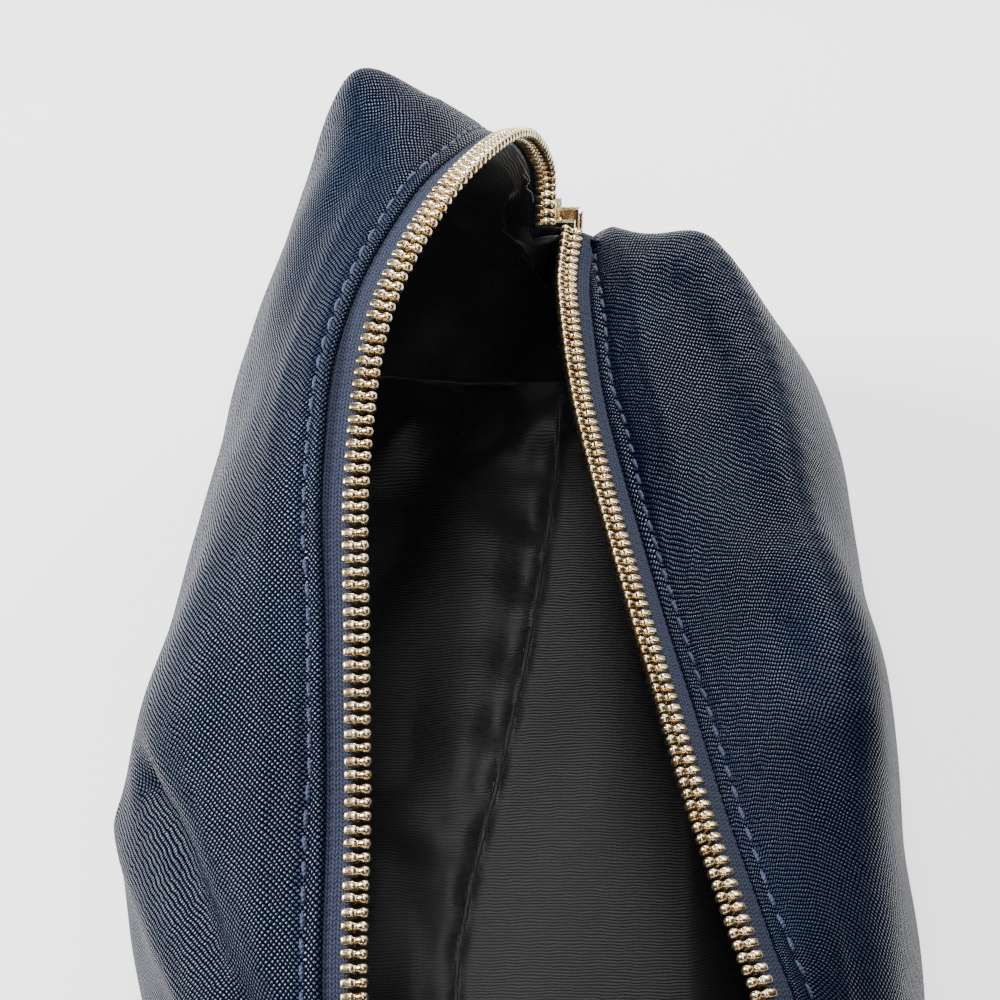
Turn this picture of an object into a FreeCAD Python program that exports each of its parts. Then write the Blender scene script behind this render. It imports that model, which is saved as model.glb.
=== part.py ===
import FreeCAD, Part
import Sketcher
import math
import os

# Soft zip pouch for banking cash and cheques, standing on its base with its mouth open.
# Millimetres. Origin: centre of the base on the surface it stands on. +X to the right,
# +Y towards the end that carries the zip slider, +Z up.

os.makedirs("parts", exist_ok=True)
doc = FreeCAD.newDocument("deposit_bag")
V = FreeCAD.Vector

# ---------------------------------------------------------------- driving dimensions
DIMENSIONS = [
    ("bag_length", 230.0),
    ("bag_width", 137.0),
    ("bag_height", 124.0),
    ("leather", 1.6),
    ("lining", 0.6),
    ("layer_gap", 0.6),
    ("board", 1.5),
    ("stack_gap", 0.1),
    ("base_inset", 2.2),
    ("board_inset", 4.5),
    ("seam_reach", 0.965),
    ("zip_centre", 11.2),
    ("zip_end_level", "=bag_height * 0.403"),
    ("tape_width", 5.8),
    ("tape_thick", 0.6),
    ("fold_gap", 1.0),
    ("tooth_pitch", 2.2),
    ("tooth_long", 3.2),
    ("tooth_wide", 1.2),
    ("tooth_high", 2.0),
    ("tooth_bite", 1.1),
    ("stitch_pitch", 4.1),
    ("stitch_long", 3.1),
    ("thread_diameter", 0.6),
    ("stitch_inset", 2.0),
    ("thread_lift", 0.15),
    ("seam_gap", 0.2),
    ("slider_long", 8.6),
    ("slider_front", 8.0),
    ("slider_back", 6.0),
    ("slider_thick", 3.6),
    ("slider_out", 1.3),
    ("slider_drop", 0.8),
    ("channel", 2.2),
    ("post_wide", 2.2),
    ("post_inset", 0.2),
    ("bridge_wire", 1.3),
    ("bridge_long", 6.4),
    ("bridge_eye", 1.5),
    ("link_wire", 1.1),
    ("link_wide", 8.6),
    ("link_rise", 1.1),
    ("link_clear", 2.0),
    ("link_long", "=slider_long / 2 + link_rise + link_clear"),
    ("pull_long", 30.0),
    ("pull_wide", 7.0),
    ("pull_thick", 2.6),
    ("pull_skin", 1.0),
    ("pull_bore_gap", 0.05),
    ("pull_stitch_pitch", 2.6),
    ("pull_stitch_long", 1.8),
    ("pull_stitch_inset", 1.4),
    ("pull_stitch_start", 3.6),
    ("stop_long", 2.4),
    ("stop_wide", 3.2),
    ("stop_thick", 2.2),
    ("stop_edge", 0.4),
    ("stop_gap", 0.3),
    ("floor_seam_wide", 2.4),
    ("floor_seam_high", 1.6),
]

sheet = doc.addObject("Spreadsheet::Sheet", "Dimensions")
for row, (name, value) in enumerate(DIMENSIONS, start=1):
    sheet.set(f"A{row}", name)
    sheet.set(f"B{row}", str(value))
    sheet.setAlias(f"B{row}", name)
doc.recompute()


def size(name):
    return float(getattr(sheet, name))


HALF_LENGTH = size("bag_length") / 2
HALF_WIDTH = size("bag_width") / 2
HEIGHT = size("bag_height")
ZIP_X = size("zip_centre")

# ---------------------------------------------------------------- outlines of the bag
# Each point is (x, y, z) in percent of the half width, the half length and the height, and x
# is counted from the middle of the zip.
# A row runs from the seam at the slider end, round the side, to the seam at the plain end.
# Rows go up the wall: base edge, low wall, bulge, shoulder, top and the folded mouth edge.
LEFT_ROWS = [
    [(0, 90, 0), (-13, 91, 0), (-34, 91, 0), (-57, 90, 0), (-77, 85, 0), (-89, 73, 0),
     (-93, 48, 0), (-96, 17, 0), (-98, -9, 0), (-96, -35, 0), (-93, -59, 0), (-86, -78, 0),
     (-69, -89, 0), (-42, -91, 0), (-19, -91, 0), (0, -90, 0)],
    [(0, 95, 10), (-15, 96, 15), (-35, 97, 18), (-58, 96, 19), (-79, 89, 20), (-90, 71, 21),
     (-96, 45, 21), (-103, 17, 21), (-108, -7, 21), (-105, -33, 21), (-98, -59, 21),
     (-88, -80, 20), (-72, -94, 19), (-45, -97, 18), (-22, -97, 15), (0, -95, 10)],
    [(0, 97, 18), (-15, 98, 26), (-34, 98.5, 35), (-55, 98.5, 47), (-71, 90, 50), (-81, 71, 50),
     (-90, 43, 50), (-100, 16, 50), (-109, -9, 50), (-106, -33, 48), (-98, -57, 47),
     (-86, -80, 45), (-68, -96, 40), (-44, -99, 34), (-23, -99, 26), (0, -97, 18)],
    [(0, 97, 22), (-13, 98, 34), (-26, 98, 47), (-41, 96, 68), (-57, 94.5, 80), (-65, 74, 79),
     (-76, 43, 79), (-88, 15, 79), (-98, -10, 77), (-93, -35, 74), (-85, -59, 72),
     (-74, -82, 66), (-53, -97, 55), (-36, -99, 44), (-19, -98, 34), (0, -97, 22)],
    [(0, 97, 25), (-11, 98, 38), (-18, 97.5, 50), (-28, 91.5, 73), (-42, 86, 85),
     (-54, 65, 88.5), (-67, 39, 90.5), (-74, 13, 90.5), (-79, -11, 88), (-77, -36, 83),
     (-76, -61, 79), (-67, -82, 72), (-47, -97, 60), (-28, -99, 48), (-13, -98, 38), (0, -97, 25)],
]
RIGHT_ROWS = [
    [(0, 90, 0), (8, 90, 0), (23, 90, 0), (39, 88, 0), (54, 80, 0), (62, 65, 0),
     (68, 43, 0), (70, 19, 0), (71, -4, 0), (70, -30, 0), (67, -57, 0), (58, -77, 0),
     (41, -88, 0), (22, -91, 0), (10, -91, 0), (0, -90, 0)],
    [(0, 95, 10), (10, 96, 11), (25, 96, 14), (42, 92, 15), (58, 83, 16), (70, 66, 17),
     (77, 43, 18), (83, 19, 18), (86, -5, 18), (84, -31, 18), (80, -57, 18), (68, -80, 18),
     (46, -93, 16), (24, -97, 14), (11, -97, 12), (0, -95, 10)],
    [(0, 97, 18), (11, 97.5, 21), (25, 97, 28), (40, 92, 32), (57, 79, 36), (70, 64, 37.5),
     (77, 41, 39.5), (82, 19, 40), (86, -4, 40), (87, -31, 40), (87, -57, 39), (74, -80, 36),
     (48, -96, 31), (26, -99, 24), (13, -98, 20), (0, -97, 18)],
    [(0, 97, 22), (12, 97, 31), (24, 95, 37), (38, 90.5, 44), (49, 75, 50), (56, 56, 56),
     (62, 33, 61), (70, 14, 64.5), (76, -8, 66), (77, -33, 64.5), (78, -59, 61), (67, -81, 55),
     (46, -96, 43.5), (26, -99, 34), (13, -98, 28), (0, -97, 22)],
    [(0, 97, 25), (10.5, 97, 34.5), (17, 92.5, 42), (24, 83, 47), (28, 66, 52), (33, 46, 58),
     (41, 25, 64), (48, 6, 69), (55, -15, 72), (61, -38, 72), (65, -61, 69.5), (59, -79, 64),
     (43, -94, 53), (23, -99, 42), (11, -98, 34), (0, -97, 25)],
]
# The line of the tooth heads on each side of the mouth, from the slider to the top stop.
LEFT_MOUTH = [
    (-1, 95.5, 40.5), (-1.5, 97.5, 53), (-8, 89, 72.5), (-18, 73, 88.5), (-30, 57, 96),
    (-42.5, 36, 99), (-47, 11, 98.5), (-46.5, -13, 94.5), (-45.8, -36, 89), (-46, -62.5, 84.5),
    (-42.5, -80, 77.5), (-30, -92, 64.5), (-13.5, -96.5, 51.5), (-1, -96.5, 40.5),
]
RIGHT_MOUTH = [
    (1, 95, 40.5), (-0.8, 85, 43.5), (-1, 76, 47), (1.3, 57, 52.5), (5.5, 39, 58),
    (14.5, 8, 67.5), (21, -11, 72.5), (28, -30, 75.5), (36.5, -49, 77), (42, -61, 76.5),
    (42, -74, 72.5), (30.5, -87, 63), (13, -95.5, 50), (1, -96.5, 40.5),
]
# Down slope of the folded edge away from the teeth, in degrees, and the leather edge's
# lowest point at each end of the mouth, in percent of the height.
LEFT_SLOPE, RIGHT_SLOPE = 14.0, 24.0
SEAM_TOP = 27.5
# The seam down the middle of the floor lining, from the slider end: (x, y) in percent.
FLOOR_SEAM = [(-3, 78), (-9, 40), (-16, 13), (-24, -12), (-27, -35), (-22, -60), (-8, -79)]
# How finely the walls follow their outlines: steps up the wall and steps in each span of an
# outline, of which there are SPANS round a side. The linings start at LINING_ROW.
UP, SPAN_STEPS = 15, 4
SPANS = len(LEFT_ROWS[0]) - 1
AROUND = SPANS * SPAN_STEPS
LINING_ROW = 1


def place(point):
    x, y, z = point
    return V(ZIP_X + x * HALF_WIDTH / 100, y * HALF_LENGTH / 100, z * HEIGHT / 100)


def spline(points):
    curve = Part.BSplineCurve()
    curve.interpolate(points)
    return curve


def along(curve, spacing, start, finish):
    """Points and directions at a spacing along a curve, between two distances from its start."""
    count = int((finish - start) / spacing)
    stations = []
    for index in range(count + 1):
        parameter = curve.parameterAtDistance(start + index * spacing, curve.FirstParameter)
        stations.append((curve.value(parameter), V(*curve.tangent(parameter)[0])))
    return stations


def outward(tangent, side, slope):
    """The direction from the tooth heads across the tape to the leather, square to the mouth."""
    angle = math.radians(slope)
    across = V(side * math.cos(angle), 0, -math.sin(angle))
    across = across - tangent * across.dot(tangent)
    return across.normalize()


def eased(points, count):
    """A smooth run of count + 1 points through the given ones, evenly shared between them."""
    ends = [points[0] * 2 - points[1]] + points + [points[-1] * 2 - points[-2]]
    run = []
    for index in range(count + 1):
        place_along = index * (len(points) - 1) / count
        start = min(int(place_along), len(points) - 2)
        t = place_along - start
        p0, p1, p2, p3 = ends[start:start + 4]
        bend = (p0 * 2 - p1 * 5 + p2 * 4 - p3) * t * t + (p1 * 3 - p0 - p2 * 3 + p3) * t * t * t
        run.append((p1 * 2 + (p2 - p0) * t + bend) * 0.5)
    return run


def mouth_curve(mouth):
    """The line of the tooth heads on one side of the mouth, and the points it runs through."""
    heads = eased([place(point) for point in mouth], (len(mouth) - 1) * SPAN_STEPS)
    return spline(heads), heads


def mouth_edge(mouth, side, slope):
    """The folded leather edge: the tooth-head line moved outwards past teeth, tape and gap.

    It goes down to the end seams in the first and the last span."""
    reach = size("tooth_bite") + size("tape_width") + size("fold_gap")
    curve, heads = mouth_curve(mouth)
    edge = []
    for head in heads:
        tangent = V(*curve.tangent(curve.parameter(head))[0])
        edge.append(head + outward(tangent, side, slope) * reach)
    gap = V(side * size("seam_gap") / 2, 0, 0)
    reach_y = 100 * size("seam_reach")
    ends = [place((0, reach_y, SEAM_TOP)) + gap, place((0, -reach_y, SEAM_TOP)) + gap]
    outline = eased(ends[:1] + edge[::SPAN_STEPS] + ends[1:], AROUND)
    outline[SPAN_STEPS:-SPAN_STEPS] = edge
    return outline


def panel_grid(rows, mouth, side, slope):
    """Rows of points on the panel's outer face, from its base edge up to its folded edge."""
    gap = V(side * size("seam_gap") / 2, 0, 0)
    lines = [eased([place(point) + gap for point in row], AROUND) for row in rows]
    lines.append(mouth_edge(mouth, side, slope))
    columns = [eased([line[j] for line in lines], UP) for j in range(AROUND + 1)]
    return [[column[i] for column in columns] for i in range(UP + 1)]


def inner_grid(grid, depth, side):
    """The grid moved square to itself towards the inside of the bag."""
    moved = []
    for i, row in enumerate(grid):
        line = []
        for j, point in enumerate(row):
            up = grid[min(i + 1, UP)][j] - grid[max(i - 1, 0)][j]
            along_row = row[min(j + 1, AROUND)] - row[max(j - 1, 0)]
            normal = (up.cross(along_row) * -side).normalize()
            line.append(point + normal * depth)
        moved.append(line)
    for line, seam in zip(moved, grid):
        line[0].x = seam[0].x
        line[-1].x = seam[-1].x
    for point in moved[0]:
        point.z = 0
    return moved


def shell_solid(grid, near_depth, far_depth, first_row, side):
    """A closed skin between two depths under a grid, from one of its rows to the mouth edge."""
    skins = []
    for depth in (near_depth, far_depth):
        moved = inner_grid(grid, depth, side)
        skin = Part.BSplineSurface()
        skin.interpolate(moved[first_row:])
        skins.append(skin)
    faces = [skin.toShape() for skin in skins]
    bounds = [skin.bounds() for skin in skins]
    for index in (0, 1):
        ends = [skin.uIso(bound[index]).toShape() for skin, bound in zip(skins, bounds)]
        faces.append(Part.makeRuledSurface(ends[0], ends[1], 1))
    for index in (2, 3):
        ends = [skin.vIso(bound[index]).toShape() for skin, bound in zip(skins, bounds)]
        faces.append(Part.makeRuledSurface(ends[0], ends[1], 1))
    shell = Part.makeShell(faces)
    shell.sewShape(0.01)
    solid = Part.makeSolid(shell)
    if solid.Volume < 0:
        solid.reverse()
    return solid


def feature(name, shape):
    item = doc.addObject("Part::Feature", name)
    item.Label = name
    item.Shape = shape
    item.Placement = FreeCAD.Placement()
    return item


# ---------------------------------------------------------------- leather and lining
def build_walls():
    leather = size("leather")
    lining_top = leather + size("layer_gap")
    lining_bottom = lining_top + size("lining")
    grids = {}
    for name, rows, mouth, side, slope in (
        ("left", LEFT_ROWS, LEFT_MOUTH, -1, LEFT_SLOPE),
        ("right", RIGHT_ROWS, RIGHT_MOUTH, 1, RIGHT_SLOPE),
    ):
        grid = panel_grid(rows, mouth, side, slope)
        grids[name] = grid
        feature(name + "_panel", shell_solid(grid, 0, leather, 0, side))
        feature(name + "_lining", shell_solid(grid, lining_top, lining_bottom, LINING_ROW, side))
    return grids


def base_outline(inset):
    """The closed outline of the base, moved inwards, on the surface it stands on."""
    left = eased([place(point) for point in LEFT_ROWS[0]], AROUND)
    right = eased([place(point) for point in RIGHT_ROWS[0]], AROUND)
    around = left + right[-2:0:-1]
    inner = []
    for index, point in enumerate(around):
        ahead = around[(index + 2) % len(around)]
        direction = (ahead - around[index - 2]).normalize()
        inner.append(point + V(-direction.y, direction.x, 0) * inset)
    curve = Part.BSplineCurve()
    curve.interpolate(inner[::3], PeriodicFlag=True)
    return Part.Wire([curve.toShape()])


def base_layer(name, inset, bottom, thickness):
    face = Part.Face(base_outline(inset))
    item = feature(name, face.extrude(V(0, 0, thickness)))
    item.Placement.Base = V(0, 0, bottom)
    return item


def build_base():
    gap = size("stack_gap")
    board_bottom = size("leather") + gap
    lining_bottom = board_bottom + size("board") + gap
    base_layer("base_panel", size("base_inset"), 0, size("leather"))
    base_layer("base_board", size("board_inset"), board_bottom, size("board"))
    base_layer("floor_lining", size("board_inset"), lining_bottom, size("lining"))
    build_floor_seam(lining_bottom + size("lining") + gap)


def build_floor_seam(bottom):
    """The sewn ridge where the two halves of the floor lining meet."""
    half = size("floor_seam_wide") / 2
    path = spline([place((x, y, 0)) for x, y in FLOOR_SEAM]).toShape()
    edges = []
    for shift in (-half, half):
        moved = path.copy()
        moved.translate(V(shift, 0, bottom))
        edges.append(moved)
    strip = Part.makeRuledSurface(edges[0], edges[1])
    feature("floor_seam", strip.extrude(V(0, 0, size("floor_seam_high"))))


# ---------------------------------------------------------------- zip tapes and teeth
def strip_solid(curve, side, slope, first, last, thickness):
    """A flat band beside a curve, between two distances across it, centred on its level."""
    spacing = curve.length() / AROUND
    stations = along(curve, spacing, 0, curve.length())
    corners = []
    for across_by, lift in ((first, -0.5), (last, -0.5), (last, 0.5), (first, 0.5)):
        line = []
        for point, tangent in stations:
            across = outward(tangent, side, slope)
            normal = tangent.cross(across) * side
            line.append(point + across * across_by - normal * lift * thickness)
        corners.append(spline(line).toShape())
    faces = []
    for one, two in ((0, 1), (1, 2), (2, 3), (3, 0)):
        faces.append(Part.makeRuledSurface(corners[one], corners[two], 1))
    for end in (0, -1):
        points = [corner.Vertexes[end].Point for corner in corners]
        near_edge = Part.makeLine(points[0], points[1])
        far_edge = Part.makeLine(points[3], points[2])
        faces.append(Part.makeRuledSurface(near_edge, far_edge))
    shell = Part.makeShell(faces)
    shell.sewShape(0.01)
    solid = Part.makeSolid(shell)
    if solid.Volume < 0:
        solid.reverse()
    return solid


def frame_placement(point, x_axis, y_axis, z_axis):
    return FreeCAD.Placement(FreeCAD.Matrix(
        x_axis.x, y_axis.x, z_axis.x, point.x,
        x_axis.y, y_axis.y, z_axis.y, point.y,
        x_axis.z, y_axis.z, z_axis.z, point.z,
        0, 0, 0, 1,
    ))


def oriented(shape, point, x_axis, y_axis, z_axis):
    placed = shape.copy()
    placed.Placement = frame_placement(point, x_axis, y_axis, z_axis)
    return placed


def tooth_shape():
    """One tooth: a block with a rounded head, lying along +X from its head at the origin."""
    long, wide, high = size("tooth_long"), size("tooth_wide"), size("tooth_high")
    block = Part.makeBox(long - wide / 2, wide, high, V(wide / 2, -wide / 2, -high / 2))
    head = Part.makeCylinder(wide / 2, high, V(wide / 2, 0, -high / 2))
    return block.fuse(head).removeSplitter()


def build_zip():
    tooth = tooth_shape()
    pitch = size("tooth_pitch")
    for name, mouth, side, slope in (
        ("left", LEFT_MOUTH, -1, LEFT_SLOPE),
        ("right", RIGHT_MOUTH, 1, RIGHT_SLOPE),
    ):
        curve, _ = mouth_curve(mouth)
        teeth = []
        shift = 0.5 if side > 0 else 0.0
        last_tooth = curve.length() - size("stop_long") - size("tooth_wide")
        for point, tangent in along(curve, pitch, pitch * shift, last_tooth):
            across = outward(tangent, side, slope)
            teeth.append(oriented(tooth, point, across, tangent, across.cross(tangent)))
        feature(name + "_teeth", Part.makeCompound(teeth))
        first = size("tooth_long") + size("stack_gap")
        last = size("tooth_bite") + size("tape_width")
        feature(name + "_tape", strip_solid(curve, side, slope, first, last, size("tape_thick")))


def stitch_solid(point, tangent):
    long, radius = size("stitch_long"), size("thread_diameter") / 2
    return Part.makeCylinder(radius, long, point - tangent * long / 2, tangent)


def build_topstitch(grids):
    """A row of thread stitches on the leather beside its folded edge.

    It starts and ends a span in from the seams."""
    above = size("thread_diameter") / 2 + size("thread_lift")
    for name, side in (("left", -1), ("right", 1)):
        outside = inner_grid(grids[name], -above, side)
        line = []
        for j in range(SPAN_STEPS + 3, AROUND - SPAN_STEPS - 2, 2):
            down = outside[UP - 1][j] - outside[UP][j]
            line.append(outside[UP][j] + down.normalize() * size("stitch_inset"))
        curve = spline(line)
        margin = size("stitch_long") / 2
        stations = along(curve, size("stitch_pitch"), margin, curve.length() - margin)
        stitches = [stitch_solid(point, tangent) for point, tangent in stations]
        feature(name + "_topstitch", Part.makeCompound(stitches))


# ---------------------------------------------------------------- slider and its pull
def bind(item, name, text):
    item.setExpression(name, text)


def primitive(kind, name, **sizes):
    """A Part primitive whose sizes are formulas over the sheet."""
    item = doc.addObject("Part::" + kind, name)
    for key, text in sizes.items():
        bind(item, key, text)
    return item


def at(item, x, y, z):
    """Places an object by formulas over the sheet."""
    for key, text in (("x", x), ("y", y), ("z", z)):
        bind(item, f".Placement.Base.{key}", text)
    return item


def turned(item, axis, angle):
    item.Placement.Rotation = FreeCAD.Rotation(axis, angle)
    return item


def combined(kind, name, base, tool):
    item = doc.addObject("Part::" + kind, name)
    item.Base = base
    item.Tool = tool
    return item


# The zip slider's centre, and the axes of the wire link and the leather pull, as formulas.
SLIDER_X = "Dimensions.zip_centre"
SLIDER_Y = "(Dimensions.bag_length / 2 * Dimensions.seam_reach + Dimensions.slider_out)"
SLIDER_Z = "(Dimensions.zip_end_level - Dimensions.slider_long / 2 - Dimensions.slider_drop)"
FACE_Y = f"({SLIDER_Y} + Dimensions.slider_thick / 2)"
LINK_Y = f"({FACE_Y} + Dimensions.bridge_eye / 2)"
LINK_Z = f"({SLIDER_Z} + Dimensions.link_rise)"
PULL_Z = f"({LINK_Z} - Dimensions.link_long)"


def build_slider():
    """Two plates joined by a post at the front, open at the sides for the two rows of teeth."""
    blank = primitive(
        "Wedge", "slider_blank",
        Xmin="-Dimensions.slider_back / 2", Xmax="Dimensions.slider_back / 2",
        X2min="-Dimensions.slider_front / 2", X2max="Dimensions.slider_front / 2",
        Ymin="-Dimensions.slider_thick / 2", Ymax="Dimensions.slider_thick / 2",
        Zmin="-Dimensions.slider_long / 2", Zmax="Dimensions.slider_long / 2",
        Z2min="-Dimensions.slider_long / 2", Z2max="Dimensions.slider_long / 2",
    )
    channel = primitive("Box", "slider_channel", Length="Dimensions.slider_front * 2",
                        Width="Dimensions.channel", Height="Dimensions.slider_long * 2")
    at(channel, "-Dimensions.slider_front", "-Dimensions.channel / 2", "-Dimensions.slider_long")
    plates = combined("Cut", "slider_plates", blank, channel)
    post = primitive("Cylinder", "slider_post", Radius="Dimensions.post_wide / 2",
                     Height="Dimensions.slider_thick - 2 * Dimensions.post_inset")
    turned(post, V(1, 0, 0), -90)
    at(post, "0", "-Dimensions.slider_thick / 2 + Dimensions.post_inset",
       "Dimensions.slider_long / 2 - Dimensions.post_wide")
    slider = combined("Fuse", "slider_body", plates, post)
    return at(slider, SLIDER_X, SLIDER_Y, SLIDER_Z)


def build_bridge():
    """The arch on the slider's outer plate that the wire link hangs in."""
    arch = primitive("Box", "bridge_block", Length="Dimensions.bridge_wire",
                     Width="Dimensions.bridge_eye + Dimensions.bridge_wire",
                     Height="Dimensions.bridge_long")
    eye = primitive("Box", "bridge_eye_space", Length="Dimensions.bridge_wire * 3",
                    Width="Dimensions.bridge_eye + Dimensions.bridge_wire",
                    Height="Dimensions.bridge_long - 2 * Dimensions.bridge_wire")
    at(eye, "-Dimensions.bridge_wire", "-Dimensions.bridge_wire", "Dimensions.bridge_wire")
    bridge = combined("Cut", "slider_bridge", arch, eye)
    return at(bridge, f"{SLIDER_X} - Dimensions.bridge_wire / 2", FACE_Y,
              f"{SLIDER_Z} - Dimensions.bridge_long / 2")


def build_link():
    """A rectangular wire link, hanging from the bridge."""
    bars = []
    half = "Dimensions.link_wide / 2"
    radius = "Dimensions.link_wire / 2"
    for name, z in (("link_top", "0"), ("link_bottom", "-Dimensions.link_long")):
        bar = primitive("Cylinder", name, Radius=radius, Height="Dimensions.link_wide")
        turned(bar, V(0, 1, 0), 90)
        bars.append(at(bar, f"-{half}", "0", z))
    for name, x in (("link_left", f"-{half}"), ("link_right", half)):
        bar = primitive("Cylinder", name, Radius=radius, Height="Dimensions.link_long")
        bars.append(at(bar, x, "0", "-Dimensions.link_long"))
        for end, z in (("_high", "0"), ("_low", "-Dimensions.link_long")):
            ball = primitive("Sphere", name + end, Radius=radius)
            bars.append(at(ball, x, "0", z))
    link = doc.addObject("Part::MultiFuse", "pull_link")
    link.Shapes = bars
    return at(link, SLIDER_X, LINK_Y, LINK_Z)


def build_pull():
    """The leather pull: a strap folded round the link's lower bar, with a round end."""
    loop = primitive("Cylinder", "pull_loop", Radius="Dimensions.link_wire / 2 + "
                     "Dimensions.pull_bore_gap + Dimensions.pull_skin", Height="Dimensions.pull_wide")
    turned(loop, V(0, 1, 0), 90)
    at(loop, "-Dimensions.pull_wide / 2", "0", "0")
    strap = primitive("Box", "pull_strap", Length="Dimensions.pull_wide",
                      Width="Dimensions.pull_thick",
                      Height="Dimensions.pull_long - Dimensions.pull_wide / 2")
    at(strap, "-Dimensions.pull_wide / 2", "-Dimensions.pull_thick / 2",
       "-Dimensions.pull_long + Dimensions.pull_wide / 2")
    tip = primitive("Cylinder", "pull_tip", Radius="Dimensions.pull_wide / 2",
                    Height="Dimensions.pull_thick")
    turned(tip, V(1, 0, 0), -90)
    at(tip, "0", "-Dimensions.pull_thick / 2", "-Dimensions.pull_long + Dimensions.pull_wide / 2")
    bore = primitive("Cylinder", "pull_bore", Radius="Dimensions.link_wire / 2 + "
                     "Dimensions.pull_bore_gap", Height="Dimensions.pull_wide * 2")
    turned(bore, V(0, 1, 0), 90)
    at(bore, "-Dimensions.pull_wide", "0", "0")
    whole = doc.addObject("Part::MultiFuse", "pull_whole")
    whole.Shapes = [loop, strap, tip]
    pull = combined("Cut", "leather_pull", whole, bore)
    return at(pull, SLIDER_X, LINK_Y, PULL_Z)


def build_pull_stitch():
    """Thread stitches round the strap's outer face: down both sides and round the end."""
    radius = size("thread_diameter") / 2
    margin = size("pull_wide") / 2 - size("pull_stitch_inset")
    face = size("pull_thick") / 2 + radius + size("pull_bore_gap")
    low = -size("pull_long") + size("pull_wide") / 2
    top = -size("pull_stitch_start")
    pitch, long = size("pull_stitch_pitch"), size("pull_stitch_long")
    stitches = []
    for side in (-1, 1):
        for index in range(int((top - low) / pitch)):
            start = V(side * margin, face, top - pitch * index)
            stitches.append(Part.makeCylinder(radius, long, start, V(0, 0, -1)))
    turns = int(math.pi * margin / long)
    for index in range(turns):
        angle = math.pi + math.pi * (index + 0.5) / turns
        middle = V(margin * math.cos(angle), face, low + margin * math.sin(angle))
        heading = V(-math.sin(angle), 0, math.cos(angle))
        short = long * margin / (margin + radius * 4)
        stitches.append(Part.makeCylinder(radius, short, middle - heading * short / 2, heading))
    item = feature("pull_stitch", Part.makeCompound(stitches))
    return at(item, SLIDER_X, LINK_Y, PULL_Z)


def stop_body(name):
    """A small metal clip, made as a padded rectangle centred on its own origin."""
    body = doc.addObject("PartDesign::Body", name)
    body.Label = name
    sketch = body.newObject("Sketcher::SketchObject", name + "_outline")
    for item in body.Origin.OriginFeatures:
        if item.Role == "XZ_Plane":
            sketch.AttachmentSupport = [(item, "")]
    sketch.MapMode = "FlatFace"
    wide, long = size("stop_wide"), size("stop_long")
    corners = [V(-wide / 2, -long / 2, 0), V(wide / 2, -long / 2, 0),
               V(wide / 2, long / 2, 0), V(-wide / 2, long / 2, 0)]
    for one, two in zip(corners, corners[1:] + corners[:1]):
        sketch.addGeometry(Part.LineSegment(one, two), False)
    for index in range(4):
        sketch.addConstraint(Sketcher.Constraint("Coincident", index, 2, (index + 1) % 4, 1))
    for index, way in enumerate(("Horizontal", "Vertical", "Horizontal", "Vertical")):
        sketch.addConstraint(Sketcher.Constraint(way, index))
    sketch.addConstraint(Sketcher.Constraint("Symmetric", 0, 1, 1, 2, -1, 1))
    across = sketch.addConstraint(Sketcher.Constraint("Distance", 0, wide))
    up = sketch.addConstraint(Sketcher.Constraint("Distance", 1, long))
    bind(sketch, f"Constraints[{across}]", "Dimensions.stop_wide")
    bind(sketch, f"Constraints[{up}]", "Dimensions.stop_long")
    clip = body.newObject("PartDesign::Pad", name + "_clip")
    clip.Profile = sketch
    clip.Midplane = True
    bind(clip, "Length", "Dimensions.stop_thick")
    doc.recompute()
    edges = body.newObject("PartDesign::Fillet", name + "_edges")
    edges.Base = (clip, ["Edge1", "Edge3", "Edge5", "Edge7"])
    bind(edges, "Radius", "Dimensions.stop_edge")
    return body


def build_stops():
    """The clip below the slider, and one at the other end of each row of teeth."""
    bottom = stop_body("bottom_stop")
    at(bottom, SLIDER_X, f"({SLIDER_Y} - Dimensions.slider_thick / 4)",
       f"({SLIDER_Z} - Dimensions.slider_long / 2 - Dimensions.stop_long / 2 - Dimensions.stop_gap)")
    for name, mouth, side, slope in (
        ("left_top_stop", LEFT_MOUTH, -1, LEFT_SLOPE),
        ("right_top_stop", RIGHT_MOUTH, 1, RIGHT_SLOPE),
    ):
        curve, _ = mouth_curve(mouth)
        distance = curve.length() - size("stop_long") / 2 + size("stop_gap")
        parameter = curve.parameterAtDistance(distance, curve.FirstParameter)
        tangent = V(*curve.tangent(parameter)[0])
        across = outward(tangent, side, slope)
        centre = curve.value(parameter) + across * (size("stop_wide") / 2)
        normal = across.cross(tangent)
        body = stop_body(name)
        body.Placement = frame_placement(centre, across, normal * -1, tangent)


# ---------------------------------------------------------------- build, check and write
grids = build_walls()
build_base()
build_zip()
build_topstitch(grids)
build_slider()
build_bridge()
build_link()
build_pull()
build_pull_stitch()
build_stops()
doc.recompute()

NODES = [
    "left_panel", "right_panel", "base_panel", "base_board",
    "left_lining", "right_lining", "floor_lining", "floor_seam",
    "left_tape", "right_tape", "left_teeth", "right_teeth",
    "left_topstitch", "right_topstitch",
    "left_top_stop", "right_top_stop", "bottom_stop",
    "slider_body", "slider_bridge", "pull_link", "leather_pull", "pull_stitch",
]
for item in doc.Objects:
    if "Invalid" in item.State or "Error" in item.State:
        raise RuntimeError(f"{item.Name} did not compute: {item.State}")
for name in NODES:
    shape = doc.getObject(name).Shape
    if shape.isNull() or not shape.isValid() or shape.Volume <= 0:
        raise RuntimeError(f"{name} is not a valid solid")
    doc.getObject(name).Label = name
    shape.exportStep(f"parts/{name}.step")
    box = shape.BoundBox
    print(f"{name}: {len(shape.Solids)} solids, {shape.Volume:.0f} mm3, "
          f"x {box.XMin:.1f}..{box.XMax:.1f} y {box.YMin:.1f}..{box.YMax:.1f} "
          f"z {box.ZMin:.1f}..{box.ZMax:.1f}")
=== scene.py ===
import math

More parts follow.
